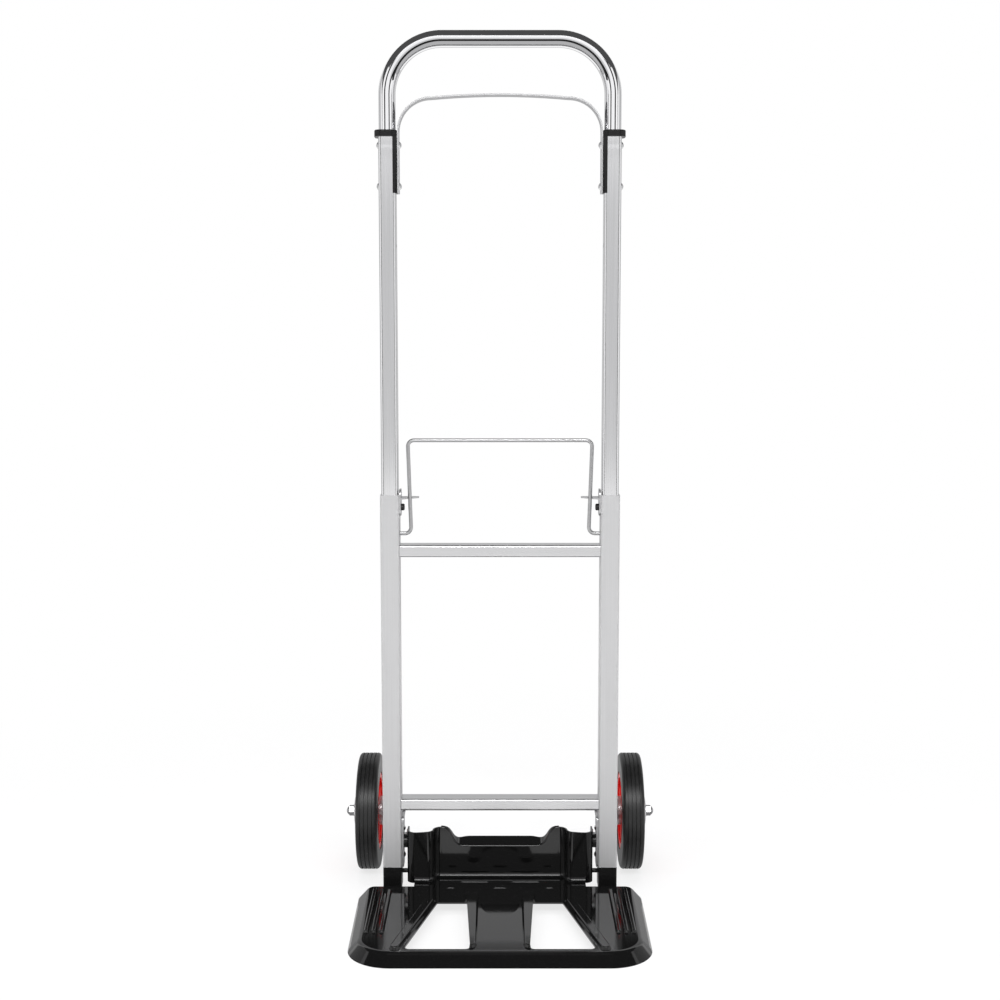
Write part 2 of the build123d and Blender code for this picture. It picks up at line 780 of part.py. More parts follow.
# Flange along the top of the wall, turned back and narrowing towards the humps
with BuildPart() as toe_flange:
    with BuildSketch(Plane.XZ.offset(-panel_y)):
        with BuildLine():
            saddle(0, 0)
            saddle(sheet / 2, sheet)
            Line((0, panel_top), (0, panel_top - sheet))
            Line((panel_half, hump_top), (panel_half + sheet / 2, hump_top - sheet))
        make_face()
        mirror(about=Plane.YZ)
    extrude(amount=flange_run.length, dir=flange_run.normalized())
    with BuildSketch():
        with BuildLine():
            Polyline((panel_half, flange_tip_y), (panel_half, panel_y), (0, panel_y))
            Polyline((0, panel_y), (0, flange_y), (flange_taper, flange_y))
            Spline((flange_taper, flange_y), (panel_half, flange_tip_y), tangents=[(1, 0), (1, 0)])
        make_face()
        mirror(about=Plane.YZ)
    extrude(amount=2 * ear_top, mode=Mode.INTERSECT)

# Upright wall of the toe plate, with its columns and the two pivot ears
with BuildPart() as toe_wall:
    with BuildSketch(Plane.XY.offset(plate_h - sheet)):
        with BuildLine():
            wall_front()
            JernArc((ear_half - ear_corner, column_y), (1, 0), ear_corner, 90)
            Line((ear_half, column_y + ear_corner), (ear_half, tube_front_y + ear_end))
            offset(amount=sheet, side=Side.LEFT)
        make_face()
        mirror(about=Plane.YZ)
    extrude(amount=ear_top)
    with BuildSketch(Plane.XZ):
        with BuildLine():
            saddle(0, 0)
            Spline((panel_half, hump_top), (column_edge, column_top), tangents=[(1, 0), (1, 0)])
            Polyline((column_edge, column_top), (ear_x, ear_top), (ear_half, ear_top))
            Polyline((ear_half, ear_top), (ear_half, 0), (0, 0), (0, panel_top))
        make_face()
        mirror(about=Plane.YZ)
    extrude(amount=plate_reach, both=True, mode=Mode.INTERSECT)
    ear_edges = toe_wall.edges().filter_by(Axis.X).group_by(Axis.Y)[-1]
    fillet(ear_edges, ear_round)
    add(toe_flange.part)
    bend_edges = toe_wall.edges().filter_by(Axis.X).filter_by_position(Axis.Z, panel_top, panel_top)
    fillet(bend_edges.sort_by(Axis.Y)[0], flange_bend)
    for side in (-1, 1):
        with BuildSketch(Plane.YZ.offset(side * (ear_half - sheet / 2))):
            with Locations((pivot_y, pivot_z)):
                Circle(pivot_d / 2 + pivot_fit)
            with Locations((link_pin_y, link_pin_z)):
                Circle(link_wire / 2 + link_fit)
            with Locations((peg_y, peg_z)):
                Circle(peg_d / 2 + peg_gap)
            with BuildLine():
                Polyline(
                    (peg_y, peg_z - peg_d / 2 - peg_gap),
                    (peg_y + peg_way, peg_z - peg_d / 2 - peg_gap),
                    (peg_y + peg_way, peg_z + peg_way),
                    (peg_y, peg_z + peg_d / 2 + peg_gap),
                    close=True,
                )
            make_face()
        extrude(amount=sheet, both=True, mode=Mode.SUBTRACT)

# Hollow bend along the foot of the wall
with BuildPart() as toe_foot:
    with BuildLine(Plane.XY.offset(plate_h)) as foot_path:
        wall_front()
        mirror(about=Plane.YZ)
    foot_line = foot_path.wires()[0]
    with BuildSketch(Plane(origin=foot_line @ 0, x_dir=(0, 1, 0), z_dir=foot_line % 0)):
        with BuildLine():
            Polyline((-foot_bend, 0), (0, 0), (0, foot_bend))
            RadiusArc((0, foot_bend), (-foot_bend, 0), foot_bend)
        make_face()
    sweep(path=foot_line)

# Toe plate: one pressing of a ribbed pan and the wall
window_edge = Vector(window_front_outer - window_rear_outer, window_front - window_rear)
window_middle = Vector(window_rear_outer, tube_front_y + window_rear) + window_edge / 2
slant_rib_side = window_edge.normalized().rotate(Axis.Z, 90) * (slant_rib_gap + slant_rib_w / 2)
slant_rib_middle = window_middle + slant_rib_side
side_bead_len = side_bead_rear - side_bead_front
side_bead_places = [
    (side_bead_middle + step * side_bead_pitch, tube_front_y + (side_bead_rear + side_bead_front) / 2)
    for step in (-1, 0, 1)
]
inner_rib_len = inner_rib_rear - inner_rib_front
inner_rib_place = (inner_rib_half, tube_front_y + (inner_rib_rear + inner_rib_front) / 2)
rear_cut = plate_h * tan(radians(skirt_slope)) + skirt_bend


def side_beads(width):
    with Locations(*side_bead_places):
        SlotCenterToCenter(side_bead_len, width, rotation=90)
    mirror(about=Plane.YZ)


def foot_beads():
    """Short stiffening beads across the plate in front of the wall."""
    with Locations((foot_bead_middle, tube_front_y + foot_bead_setback)):
        SlotOverall(foot_bead_len, foot_bead_w)
    with Locations((outer_bead_middle, tube_front_y + front_bead_setback)):
        SlotOverall(outer_bead_len, foot_bead_w)
    with Locations((0, tube_front_y + front_bead_setback)):
        SlotOverall(middle_bead_len, foot_bead_w)
    mirror(about=Plane.YZ)


def window_ribs(wall):
    """Ribs beside the windows, narrower by a wall on each side for the hollow underneath."""
    with Locations((slant_rib_middle.X, slant_rib_middle.Y)):
        slant = degrees(atan2(window_edge.Y, window_edge.X))
        SlotCenterToCenter(window_edge.length, slant_rib_w - 2 * wall, rotation=slant)
    with Locations(inner_rib_place):
        SlotCenterToCenter(inner_rib_len, inner_rib_w - 2 * wall, rotation=90)
    mirror(about=Plane.YZ)


def half_moon(grow):
    with Locations((0, tube_front_y + recess_rear)):
        Ellipse(recess_half + grow, recess_reach + grow)
    with Locations((0, tube_front_y + recess_rear + grow + recess_reach / 2)):
        Rectangle(2 * (recess_half + recess_reach), recess_reach, mode=Mode.SUBTRACT)


with BuildPart() as toe_plate:
    add(pan_form(0))
    add(pan_form(sheet), mode=Mode.SUBTRACT)
    with BuildSketch():
        with Locations((0, plate_rear_y)):
            Rectangle(2 * (ear_half - ear_corner), 2 * rear_cut)
    extrude(amount=plate_h, mode=Mode.SUBTRACT)
    with BuildSketch(Plane.XY.offset(plate_h - sheet)):
        with BuildLine():
            wall_front()
            Polyline(
                (ear_half - ear_corner, column_y),
                (ear_half - ear_corner, plate_rear_y - rear_cut),
                (0, plate_rear_y - rear_cut),
                (0, panel_y),
            )
        make_face()
        mirror(about=Plane.YZ)
    extrude(amount=sheet)
    with BuildSketch(Plane.XY.offset(plate_h)):
        foot_beads()
    extrude(amount=foot_bead_h, taper=bead_slope)
    fillet(toe_plate.edges().group_by(Axis.Z)[-1], foot_bead_edge)
    with BuildSketch(Plane.XY.offset(plate_h)):
        side_beads(side_bead_w)
    extrude(amount=side_bead_h, taper=bead_slope)
    fillet(toe_plate.edges().group_by(Axis.Z)[-1], side_bead_edge)
    with BuildSketch(Plane.XY.offset(plate_h)):
        window_ribs(0)
    extrude(amount=rib_h, taper=bead_slope)
    fillet(toe_plate.edges().group_by(Axis.Z)[-1], rib_edge)
    with BuildSketch(Plane.XY.offset(plate_h - sheet)):
        side_beads(side_bead_w - 2 * sheet)
    extrude(amount=side_bead_h, mode=Mode.SUBTRACT)
    with BuildSketch(Plane.XY.offset(plate_h - sheet)):
        window_ribs(2 * sheet)
    extrude(amount=rib_h, mode=Mode.SUBTRACT)
    with BuildSketch(Plane.XY.offset(plate_h - sheet)):
        half_moon(sheet)
    extrude(amount=-recess_depth)
    with BuildSketch(Plane.XY.offset(plate_h)):
        half_moon(0)
    extrude(amount=-recess_depth, mode=Mode.SUBTRACT)
    with BuildSketch() as windows:
        with BuildLine():
            Polyline(
                (window_rear_inner, tube_front_y + window_rear),
                (window_rear_outer, tube_front_y + window_rear),
                (window_front_outer, tube_front_y + window_front),
                (window_front_inner, tube_front_y + window_front),
                close=True,
            )
        make_face()
        rear_corners = windows.vertices().group_by(Axis.Y)[-1].sort_by(Axis.X)
        fillet(windows.vertices().group_by(Axis.Y)[0], window_front_corner)
        fillet(rear_corners[0], window_inner_corner)
        fillet(rear_corners[1], window_outer_corner)
        mirror(about=Plane.YZ)
    extrude(amount=2 * plate_h, mode=Mode.SUBTRACT)
    with BuildSketch():
        with Locations((drain_half, tube_front_y + drain_setback)):
            Circle(drain_d / 2)
        mirror(about=Plane.YZ)
    extrude(amount=2 * plate_h, mode=Mode.SUBTRACT)
    add(toe_foot.part)
    add(toe_wall.part)
write(toe_plate, "toe_plate")

# Link rod: bent wire from the ear of the toe plate to the lever of the wheel arm
with BuildPart() as link_rod:
    with BuildLine() as link_path:
        FilletPolyline(
            (ear_x - link_end_past, link_pin_y, link_pin_z),
            (link_x, link_pin_y, link_pin_z),
            (link_x, link_hook_y, link_pin_z),
            (link_x, link_hook_y, arm_low + arm_t + link_hook_past),
            radius=link_bend,
        )
    with BuildSketch(Plane(origin=(ear_x - link_end_past, link_pin_y, link_pin_z), z_dir=(1, 0, 0))):
        Circle(link_wire / 2)
    sweep(path=link_path.wires()[0])
write_pair(link_rod, "link_rod")

# Wheel arm: a bent plate with two hinge tabs and a lever for the link rod
with BuildPart() as wheel_arm:
    with BuildSketch(Plane.XY.offset(arm_low)):
        with Locations((hinge_x, hinge_y)):
            Circle(hinge_lug_r)
        with Locations((link_x, link_hook_y)):
            Circle(lever_r)
        make_hull()
    extrude(amount=arm_t)
    for height in (arm_low, arm_high - arm_t):
        with BuildSketch(Plane.XY.offset(height)):
            with Locations((hinge_x, hinge_y)):
                Circle(hinge_lug_r)
            with Locations((hinge_x + arm_offset / 2, hinge_y)):
                Rectangle(arm_offset, 2 * hinge_lug_r)
        extrude(amount=arm_t)
    with BuildSketch(Plane.YZ.offset(arm_plate_x)):
        with Locations(((hinge_y - hinge_lug_r + axle_y) / 2, axle_z)):
            Rectangle(axle_y - hinge_y + hinge_lug_r, arm_h)
        with Locations((axle_y, axle_z)):
            Circle(arm_h / 2)
            Circle(axle_d / 2 + axle_fit, mode=Mode.SUBTRACT)
    extrude(amount=arm_t)
    with BuildSketch(Plane.XY.offset(arm_low)):
        with Locations((hinge_x, hinge_y)):
            Circle(hinge_pin_d / 2 + hinge_fit)
    extrude(amount=arm_h, mode=Mode.SUBTRACT)
    with BuildSketch(Plane.XY.offset(arm_low)):
        slot_near = link_crank / 2
        slot_reach = (crank + slot_near) / 2
        with Locations((hinge_x - slot_reach, hinge_y + slot_reach)):
            SlotCenterToCenter(
                (crank - slot_near) / cos(radians(45)), link_wire + 2 * link_slot_gap, rotation=-45
            )
    extrude(amount=arm_t, mode=Mode.SUBTRACT)
write_pair(wheel_arm, "wheel_arm")

# Axle: hex bolt from the arm, spacer, washer and cap nut
with BuildPart() as axle_bolt:
    with BuildSketch(Plane.YZ.offset(arm_plate_x)):
        with Locations((axle_y, axle_z)):
            RegularPolygon(nut_af / 2, 6, major_radius=False)
    extrude(amount=-hex_head_h)
    with BuildSketch(Plane.YZ.offset(arm_plate_x)):
        with Locations((axle_y, axle_z)):
            Circle(axle_d / 2)
    extrude(amount=cap_nut_x + cap_nut_hex + axle_thread_past - arm_plate_x)
write_pair(axle_bolt, "axle_bolt")

with BuildPart() as axle_spacer:
    with BuildSketch(Plane.YZ.offset(axle_spacer_x)):
        with Locations((axle_y, axle_z)):
            ring(axle_spacer_d / 2, axle_d / 2 + axle_fit)
    extrude(amount=axle_spacer_len)
write_pair(axle_spacer, "axle_spacer")

with BuildPart() as axle_washer:
    with BuildSketch(Plane.YZ.offset(washer_x)):
        with Locations((axle_y, axle_z)):
            ring(washer_d / 2, axle_d / 2 + axle_fit)
    extrude(amount=washer_t)
write_pair(axle_washer, "axle_washer")

with BuildPart() as axle_nut:
    with BuildSketch(Plane.YZ.offset(cap_nut_x)):
        with Locations((axle_y, axle_z)):
            RegularPolygon(nut_af / 2, 6, major_radius=False)
    extrude(amount=cap_nut_hex)
    with BuildSketch(Plane(origin=axle_line.position, x_dir=(1, 0, 0), z_dir=(0, -1, 0))):
        dome(cap_nut_x + cap_nut_hex, nut_af / 2, cap_nut_dome, 1)
    revolve(axis=axle_line)
    with BuildSketch(Plane.YZ.offset(cap_nut_x)):
        with Locations((axle_y, axle_z)):
            Circle(axle_d / 2 + axle_fit)
    extrude(amount=cap_nut_hex + axle_thread_past + axle_play, mode=Mode.SUBTRACT)
write_pair(axle_nut, "axle_nut")

# Rubber tyre on the rim, with grooves round the tread
with BuildPart() as tyre:
    with BuildSketch(wheel_plane):
        with BuildLine():
            foot_half = rim_half - rim_flange_w - tyre_fit
            ledge_r = rim_flange_r + tyre_fit
            side_r = tyre_r - tyre_shoulder
            tread_half = tyre_w / 2 - tyre_shoulder
            Polyline(
                (tyre_w / 2, side_r),
                (tyre_w / 2, ledge_r),
                (foot_half, ledge_r),
                (foot_half, rim_seat_r + tyre_fit),
                (-foot_half, rim_seat_r + tyre_fit),
                (-foot_half, ledge_r),
                (-tyre_w / 2, ledge_r),
                (-tyre_w / 2, side_r),
            )
            JernArc((-tyre_w / 2, side_r), (0, 1), tyre_shoulder, -90)
            Line((-tread_half, tyre_r), (tread_half, tyre_r))
            JernArc((tread_half, tyre_r), (1, 0), tyre_shoulder, -90)
        make_face()
        for groove in range(tread_grooves):
            with Locations(((groove - (tread_grooves - 1) / 2) * tread_pitch, tyre_r)):
                Rectangle(tread_groove_w, 2 * tread_groove_depth, mode=Mode.SUBTRACT)
    revolve(axis=axle_line)
write_pair(tyre, "tyre")

# Moulded rim with a web, ribs on both sides and a hub
with BuildPart() as rim:
    barrel_r = rim_seat_r - rim_barrel_t
    with BuildSketch(wheel_plane):
        with Locations((0, rim_seat_r - rim_barrel_t / 2)):
            Rectangle(2 * rim_half, rim_barrel_t)
        for side in (-1, 1):
            with Locations((side * (rim_half - rim_flange_w / 2), (barrel_r + rim_flange_r) / 2)):
                Rectangle(rim_flange_w, rim_flange_r - barrel_r)
        with Locations((rim_web_offset, (bush_r + rim_seat_r) / 2)):
            Rectangle(rim_web_t, rim_seat_r - bush_r)
        with Locations(((hub_inner + hub_outer) / 2 - wheel_x, rim_hub_r / 2)):
            Rectangle(hub_len, rim_hub_r)
        Rectangle(2 * hub_len, 2 * (bush_r + bush_fit), mode=Mode.SUBTRACT)
    revolve(axis=axle_line)
    for rib in range(rim_ribs):
        with BuildSketch(wheel_plane.rotated((360 * rib / rim_ribs, 0, 0))):
            with Locations((0, (rim_hub_r + rim_seat_r) / 2 - rim_barrel_t / 2)):
                Rectangle(2 * (rim_half - rim_rib_inset), rim_seat_r - rim_hub_r)
        extrude(amount=rim_rib_t / 2, both=True)
write_pair(rim, "wheel_rim")

# Silver bushes with a thick flange, pressed into both ends of the hub
with BuildPart() as hub_bushes:
    bush_reach = hub_len / 2 - bush_gap
    with BuildSketch(wheel_plane):
        for end, way in ((hub_inner, 1), (hub_outer, -1)):
            with Locations((end - wheel_x + way * bush_reach / 2, bush_r / 2)):
                Rectangle(bush_reach, bush_r)
            with Locations((end - wheel_x - way * bush_flange_t / 2, bush_flange_d / 4)):
                Rectangle(bush_flange_t, bush_flange_d / 2)
        Rectangle(2 * hub_len, axle_d + 2 * axle_fit, mode=Mode.SUBTRACT)
    revolve(axis=axle_line)
    flange_edges = hub_bushes.edges().filter_by(GeomType.CIRCLE).group_by(SortBy.RADIUS)[-1]
    fillet(flange_edges.group_by(Axis.X)[0] + flange_edges.group_by(Axis.X)[-1], bush_edge)
write_pair(hub_bushes, "hub_bushes")
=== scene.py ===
import json
import math
import bpy
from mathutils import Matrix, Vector


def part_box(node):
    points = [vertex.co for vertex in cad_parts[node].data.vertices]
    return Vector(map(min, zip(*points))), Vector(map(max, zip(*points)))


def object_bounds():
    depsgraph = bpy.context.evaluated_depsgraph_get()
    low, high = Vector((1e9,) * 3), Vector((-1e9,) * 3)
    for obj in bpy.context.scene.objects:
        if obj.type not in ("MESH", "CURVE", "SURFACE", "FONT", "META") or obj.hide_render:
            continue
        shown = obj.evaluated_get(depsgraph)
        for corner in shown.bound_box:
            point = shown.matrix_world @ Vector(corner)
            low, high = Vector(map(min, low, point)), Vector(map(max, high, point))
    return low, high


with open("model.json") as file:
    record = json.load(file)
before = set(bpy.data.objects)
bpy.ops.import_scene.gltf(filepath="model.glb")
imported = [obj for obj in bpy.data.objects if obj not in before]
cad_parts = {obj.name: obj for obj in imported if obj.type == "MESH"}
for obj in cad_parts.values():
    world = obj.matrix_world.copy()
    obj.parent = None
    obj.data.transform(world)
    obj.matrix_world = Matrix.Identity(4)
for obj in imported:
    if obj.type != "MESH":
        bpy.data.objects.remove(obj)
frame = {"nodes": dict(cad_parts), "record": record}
cad_low, cad_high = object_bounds()

# Camera, in metres and degrees, and the image that it was fitted to, in pixels
camera_distance = 2.0
camera_height = 0.760
camera_pitch = 6.56
focal_pixels = 1541.0
image_pixels = 1000.0
sensor_mm = 36.0

# Floor and world, as lengths in metres, shares and strengths
floor_half = 6.0
shadow_near = 0.35
shadow_far = 1.3
shadow_fill = 0.75
background_white = 1.0
ambient = 0.5

# Tones of the reflected cards
flag_tones = {
    "black": 0.02,
    "dim": 0.07,
    "pale": 0.86,
    "bright": 0.96,
    "mid": 0.46,
    "soft": 0.62,
    "dusk": 0.57,
    "white": 1.05,
}

# Cards that wall in the studio, in metres
card_distance = 2.5
card_half = 1.0
card_low = 0.3
card_split = 1.22
card_top = 2.35
frame_width = 0.9
overhead_z = 2.6
overhead_back = 2.2
side_card_x = 2.4
side_card_front = -1.3
side_card_turn = 0.1
side_card_back = 2.0
taper_inset = 0.01
taper_low = 1.2
taper_mid_y = -0.2
taper_mid_z = 1.9
back_card_y = 2.0
back_card_half = 1.8
back_card_top = 1.7

# Cards near the object, in metres, with their depths measured from the front of the tubes
tray_z = 1.0
tray_rise = 0.027
tray_far = 0.364
tray_near = 0.136
tray_back = 0.06
tray_half = 0.3
tray_inner_half = 0.12
flag_lift = 0.001
floor_card_half = 0.45
floor_card_gap = 0.19
floor_card_front = 0.27
floor_card_turn = 0.05
floor_card_back = 0.5
handle_card_gap = 0.6
handle_card_half = 0.42
handle_card_low = 1.35
handle_card_high = 1.53

# Lamps, with places and sizes in metres and powers in watts
key_place = (-1.7, -1.6, 2.0)
key_size = (1.2, 1.2)
key_power = 22
fill_place = (1.7, -1.6, 2.0)
fill_power = 18
top_place = (0, 0.6, 2.8)
top_size = (2.0, 1.2)
top_power = 25
strip_place = (0, -2.3, 2.38)
strip_size = (2.0, 0.4)
strip_power = 40

tube_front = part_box("right_lower_tube")[0].y


def new_material(name, color, metallic, roughness):
    """A material with its constant values set on the shader itself."""
    material = bpy.data.materials.new(name)
    material.use_nodes = True
    shader = material.node_tree.nodes["Principled BSDF"]
    shader.inputs["Base Color"].default_value = (*color, 1.0)
    shader.inputs["Metallic"].default_value = metallic
    shader.inputs["Roughness"].default_value = roughness
    return material


def add_node(material, kind, **values):
    """A node with its input values set by socket name."""
    node = material.node_tree.nodes.new(kind)
    for name, value in values.items():
        node.inputs[name.replace("_", " ")].default_value = value
    return node


def join(material, source, output, target, socket):
    material.node_tree.links.new(source.outputs[output], target.inputs[socket])


def shader_of(material):
    return material.node_tree.nodes["Principled BSDF"]


def noise(material, scale, stretch=(1, 1, 1), detail=4.0):
    """Noise in the object's own coordinates, in features per metre along each axis."""
    place = add_node(material, "ShaderNodeTexCoord")
    mapping = add_node(material, "ShaderNodeMapping", Scale=stretch)
    texture = add_node(material, "ShaderNodeTexNoise", Scale=scale, Detail=detail)
    join(material, place, "Object", mapping, "Vector")
    join(material, mapping, "Vector", texture, "Vector")
    return texture


def vary_roughness(material, texture, low, high):
    spread = add_node(material, "ShaderNodeMapRange", To_Min=low, To_Max=high)
    join(material, texture, "Fac", spread, "Value")
    join(material, spread, "Result", shader_of(material), "Roughness")


def vary_color(material, texture, dark, light, low=0.3, high=0.7):
    ramp = add_node(material, "ShaderNodeValToRGB")
    ramp.color_ramp.elements[0].position = low
    ramp.color_ramp.elements[1].position = high
    ramp.color_ramp.elements[0].color = (*dark, 1.0)
    ramp.color_ramp.elements[1].color = (*light, 1.0)
    join(material, texture, "Fac", ramp, "Fac")
    join(material, ramp, "Color", shader_of(material), "Base Color")


def add_bump(material, texture, strength, depth):
    bump = add_node(material, "ShaderNodeBump", Strength=strength, Distance=depth)
    join(material, texture, "Fac", bump, "Height")
    join(material, bump, "Normal", shader_of(material), "Normal")


def grey(value):
    """A grey with a trace of blue."""
    return (value, value, value * 1.01)


def drawn_metal(name, tone, stretch, low, high, metallic=1.0):
    """Metal with fine lines, as smooth as low and as rough as high. A matt finish is less metallic."""
    material = new_material(name, grey(tone), metallic, roughness=high)
    lines = noise(material, scale=1.0, stretch=stretch, detail=6.0)
    vary_roughness(material, lines, low, high)
    vary_color(material, lines, dark=grey(tone * 0.96), light=grey(tone * 1.03))
    add_bump(material, lines, strength=0.02, depth=0.0002)
    return material


def chrome_plate():
    material = new_material("chrome_plate", grey(0.93), metallic=1.0, roughness=0.04)
    haze = noise(material, scale=30.0)
    vary_roughness(material, haze, low=0.025, high=0.06)
    return material


def zinc_plate():
    material = new_material("zinc_plate", grey(0.58), metallic=1.0, roughness=0.35)
    spangle = noise(material, scale=220.0)
    vary_color(material, spangle, dark=grey(0.50), light=grey(0.66))
    vary_roughness(material, spangle, low=0.26, high=0.44)
    add_bump(material, spangle, strength=0.05, depth=0.0002)
    return material


def black_enamel():
    """Glossy stoved paint on pressed steel, with a slight orange peel."""
    material = new_material("black_enamel", grey(0.004), metallic=0.0, roughness=0.1)
    shader_of(material).inputs["IOR"].default_value = 1.55
    peel = noise(material, scale=350.0, detail=2.0)
    vary_roughness(material, peel, low=0.045, high=0.09)
    add_bump(material, peel, strength=0.015, depth=0.0003)
    return material


def black_plastic():
    material = new_material("black_plastic", grey(0.006), metallic=0.0, roughness=0.36)
    shader_of(material).inputs["IOR"].default_value = 1.38
    grain = noise(material, scale=2200.0, detail=2.0)
    vary_roughness(material, grain, low=0.2, high=0.32)
    add_bump(material, grain, strength=0.08, depth=0.0002)
    return material


def black_oxide():
    material = new_material("black_oxide", grey(0.03), metallic=0.7, roughness=0.35)
    mottle = noise(material, scale=500.0)
    vary_color(material, mottle, dark=grey(0.02), light=grey(0.05))
    vary_roughness(material, mottle, low=0.28, high=0.45)
    return material


def tyre_rubber():
    material = new_material("tyre_rubber", grey(0.008), metallic=0.0, roughness=0.4)
    dust = noise(material, scale=160.0, detail=6.0)
    vary_color(material, dust, dark=grey(0.006), light=grey(0.012))
    vary_roughness(material, dust, low=0.34, high=0.46)
    add_bump(material, dust, strength=0.08, depth=0.0003)
    return material


def red_plastic():
    material = new_material("red_plastic", (0.86, 0.012, 0.008), metallic=0.0, roughness=0.28)
    sheen = noise(material, scale=90.0)
    vary_color(material, sheen, dark=(0.82, 0.010, 0.007), light=(0.90, 0.014, 0.010))
    vary_roughness(material, sheen, low=0.22, high=0.36)
    return material


def silver_plastic():
    material = new_material("silver_plastic", grey(0.66), metallic=0.8, roughness=0.3)
    flakes = noise(material, scale=1500.0, detail=2.0)
    vary_color(material, flakes, dark=grey(0.58), light=grey(0.74))
    vary_roughness(material, flakes, low=0.22, high=0.34)
    return material


lower_tube_finish = drawn_metal(
    "lower_tube_aluminium", tone=0.56, stretch=(600, 600, 6), low=0.34, high=0.44, metallic=0.5
)
upper_tube_finish = drawn_metal(
    "upper_tube_aluminium", tone=0.85, stretch=(700, 700, 5), low=0.12, high=0.18
)
rivet_finish = drawn_metal(
    "rivet_aluminium", tone=0.76, stretch=(300, 300, 300), low=0.14, high=0.24
)
slot_finishes = {
    "lower_tube_aluminium": lower_tube_finish,
    "upper_tube_aluminium": upper_tube_finish,
    "rivet_aluminium": rivet_finish,
    "black_plastic": black_plastic(),
    "zinc_steel": zinc_plate(),
    "black_steel": black_oxide(),
    "chrome": chrome_plate(),
    "tyre_rubber": tyre_rubber(),
    "red_plastic": red_plastic(),
    "silver_plastic": silver_plastic(),
    "black_paint": black_enamel(),
}
crossbar_finish = drawn_metal(
    "crossbar_aluminium", tone=0.73, stretch=(6, 600, 600), low=0.24, high=0.34
)
strap_finish = drawn_metal("strap_aluminium", tone=0.62, stretch=(6, 400, 400), low=0.28, high=0.36)
wire_finish = drawn_metal("bright_zinc", tone=0.54, stretch=(400, 400, 400), low=0.30, high=0.36)
nut_finish = drawn_metal("nut_nickel", tone=0.40, stretch=(300, 300, 300), low=0.16, high=0.26)
node_finishes = {
    "upper_crossbar": crossbar_finish,
    "lower_crossbar": crossbar_finish,
    "brace_strap": strap_finish,
    "wire_bail": wire_finish,
    "right_axle_nut": nut_finish,
    "left_axle_nut": nut_finish,
}

for part in frame["record"]["subparts"]:
    finish = node_finishes.get(part["node"], slot_finishes[part["material_slot"]])
    node = frame["nodes"][part["node"]]
    node.data.materials.clear()
    node.data.materials.append(finish)


def add_camera():
    camera = bpy.data.objects.new("camera", bpy.data.cameras.new("camera"))
    bpy.context.scene.collection.objects.link(camera)
    camera.data.sensor_width = sensor_mm
    camera.data.lens = focal_pixels * sensor_mm / image_pixels
    camera.location = (0, tube_front - camera_distance, camera_height)
    camera.rotation_euler = (math.radians(90 - camera_pitch), 0, 0)
    bpy.context.scene.camera = camera


def add_card(name, corners, material):
    """A flat card of the studio with four corners."""
    mesh = bpy.data.meshes.new(name)
    mesh.from_pydata(corners, [], [(0, 1, 2, 3)])
    mesh.materials.append(material)
    card = bpy.data.objects.new(name, mesh)
    bpy.context.scene.collection.objects.link(card)
    return card


def level(z, left, right, front, back):
    return [(left, front, z), (right, front, z), (right, back, z), (left, back, z)]


def upright(y, left, right, low, high):
    return [(left, y, low), (right, y, low), (right, y, high), (left, y, high)]


def sideways(x, front, back, high):
    return [(x, front, 0), (x, back, 0), (x, back, high), (x, front, high)]


def sloped(front_z, back_z, half, front, back):
    return [(-half, front, front_z), (half, front, front_z), (half, back, back_z), (-half, back, back_z)]


def seen_ray(tree):
    """1 for rays from the camera, mirrors and glass, 0 for rays that only carry light."""
    path = tree.nodes.new("ShaderNodeLightPath")
    seen = path.outputs["Is Camera Ray"]
    for kind in ("Is Glossy Ray", "Is Transmission Ray"):
        larger = tree.nodes.new("ShaderNodeMath")
        larger.operation = "MAXIMUM"
        tree.links.new(seen, larger.inputs[0])
        tree.links.new(path.outputs[kind], larger.inputs[1])
        seen = larger.outputs[0]
    return seen


def add_floor():
    """Pale paper that keeps the shadow and fades to plain white away from the object."""
    paper = new_material("floor_paper", grey(0.90), metallic=0.0, roughness=0.9)
    speckle = noise(paper, scale=40.0)
    vary_color(paper, speckle, dark=grey(0.89), light=grey(0.91))
    tree = paper.node_tree
    white = add_node(paper, "ShaderNodeEmission", Color=(1, 1, 1, 1), Strength=background_white)
    place = add_node(paper, "ShaderNodeTexCoord")
    distance = add_node(paper, "ShaderNodeVectorMath")
    distance.operation = "LENGTH"
    reach = {"From_Min": shadow_near, "From_Max": shadow_far}
    fade = add_node(paper, "ShaderNodeMapRange", To_Min=shadow_fill, **reach)
    fade.interpolation_type = "SMOOTHSTEP"
    share = add_node(paper, "ShaderNodeMath")
    share.operation = "MULTIPLY"
    blend = add_node(paper, "ShaderNodeMixShader")
    join(paper, place, "Object", distance, 0)
    join(paper, distance, "Value", fade, "Value")
    join(paper, fade, "Result", share, 0)
    tree.links.new(seen_ray(tree), share.inputs[1])
    join(paper, share, 0, blend, "Fac")
    join(paper, shader_of(paper), "BSDF", blend, 1)
    join(paper, white, "Emission", blend, 2)
    join(paper, blend, "Shader", tree.nodes["Material Output"], "Surface")
    add_card("floor", level(0, -floor_half, floor_half, -floor_half, floor_half), paper)


def add_world():
    """White to the camera and to mirror surfaces, softer as a lamp."""
    world = bpy.data.worlds.new("studio")
    bpy.context.scene.world = world
    world.use_nodes = True
    tree = world.node_tree
    background = tree.nodes["Background"]
    background.inputs["Color"].default_value = (1, 1, 1, 1)
    strength = tree.nodes.new("ShaderNodeMapRange")
    strength.inputs["To Min"].default_value = ambient
    strength.inputs["To Max"].default_value = background_white
    tree.links.new(seen_ray(tree), strength.inputs["Value"])
    tree.links.new(strength.outputs["Result"], background.inputs["Strength"])


